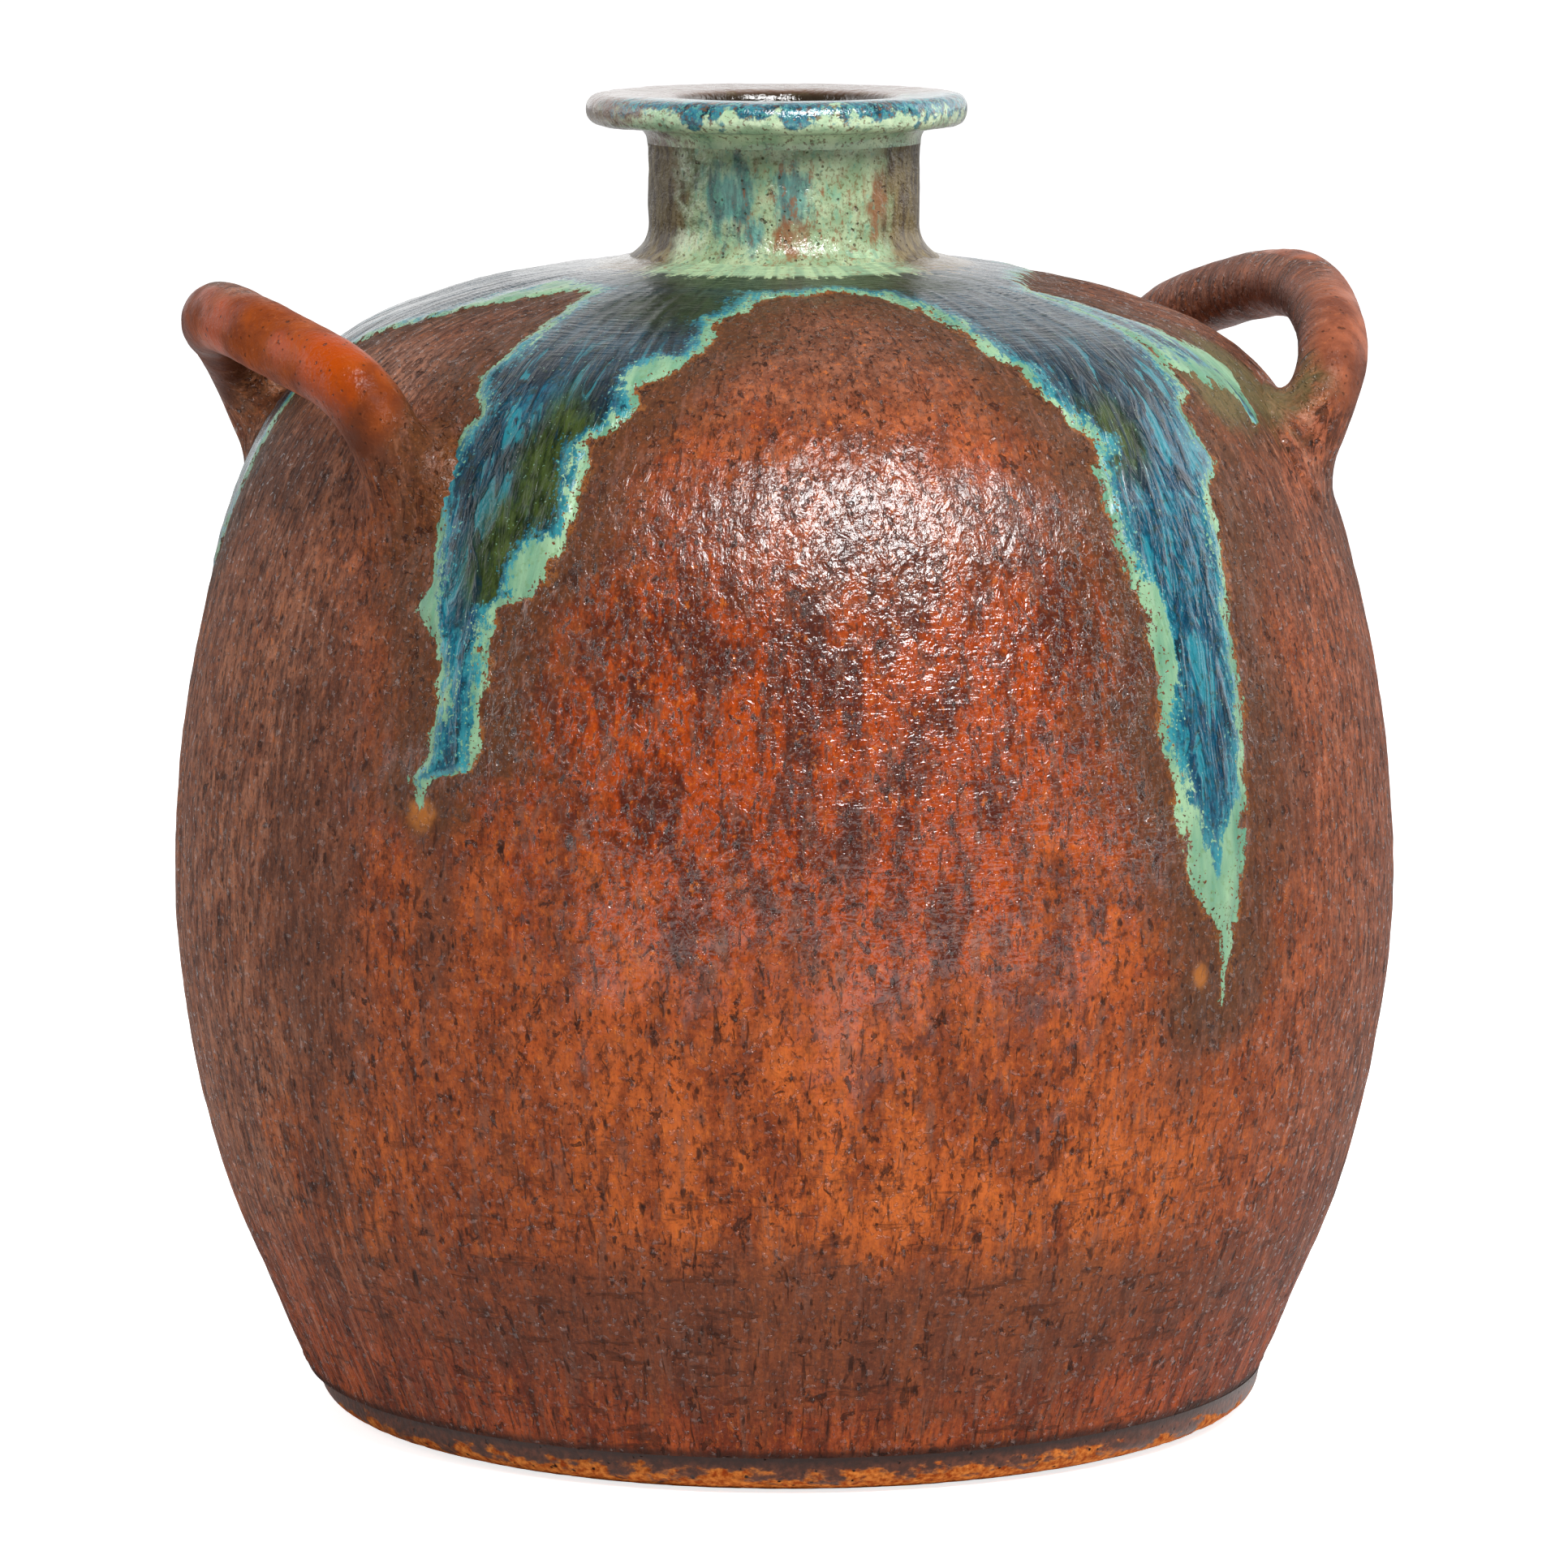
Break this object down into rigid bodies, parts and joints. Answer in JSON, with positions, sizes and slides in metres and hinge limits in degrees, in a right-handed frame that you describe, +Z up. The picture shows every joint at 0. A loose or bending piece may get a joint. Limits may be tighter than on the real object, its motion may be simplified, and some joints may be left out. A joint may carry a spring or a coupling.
{
  "type": "two-handled stoneware vase",
  "caption": "Round-bodied stoneware vase with a narrow neck under a flat flanged mouth, looped rod handles on the shoulder and a thick blue-green glaze that has run down from the neck.",
  "frame": {"origin": "middle of the foot ring's resting plane, on the axis of the body", "axes": "+Z up along the axis of the body; the two handles are towards -X and +X; the side with the two long front runs of glaze faces -Y"},
  "size_m": [0.3084, 0.3084, 0.33],
  "materials": {
    "bare_clay": "unglazed dark red-brown stoneware, rough and matt, with orange worn edges",
    "rust_glaze": "mottled rust-red and brown glaze over coarse grogged clay, glossy at the front of the belly and drier below",
    "mottled_green_glaze": "pale green glaze mottled with blue and speckled with brown, satin to glossy",
    "handle_glaze": "orange-brown glaze, satin, with brighter orange where it is thin",
    "run_glaze": "thick glossy blue and dark green glaze with a pale green ragged edge"
  },
  "bodies": {
    "root": {"foot_ring": "bare_clay", "floor_slab": "bare_clay", "lower_wall": "rust_glaze", "upper_wall": "rust_glaze", "neck": "mottled_green_glaze", "rim": "mottled_green_glaze", "left_handle": "handle_glaze", "right_handle": "handle_glaze", "glaze_collar": "run_glaze", "drip_front_left": "run_glaze", "drip_front_right": "run_glaze", "drip_right_shoulder": "run_glaze", "drip_under_left_handle": "run_glaze", "drip_back_left": "run_glaze", "drip_back_right": "run_glaze"}
  },
  "joints": []
}
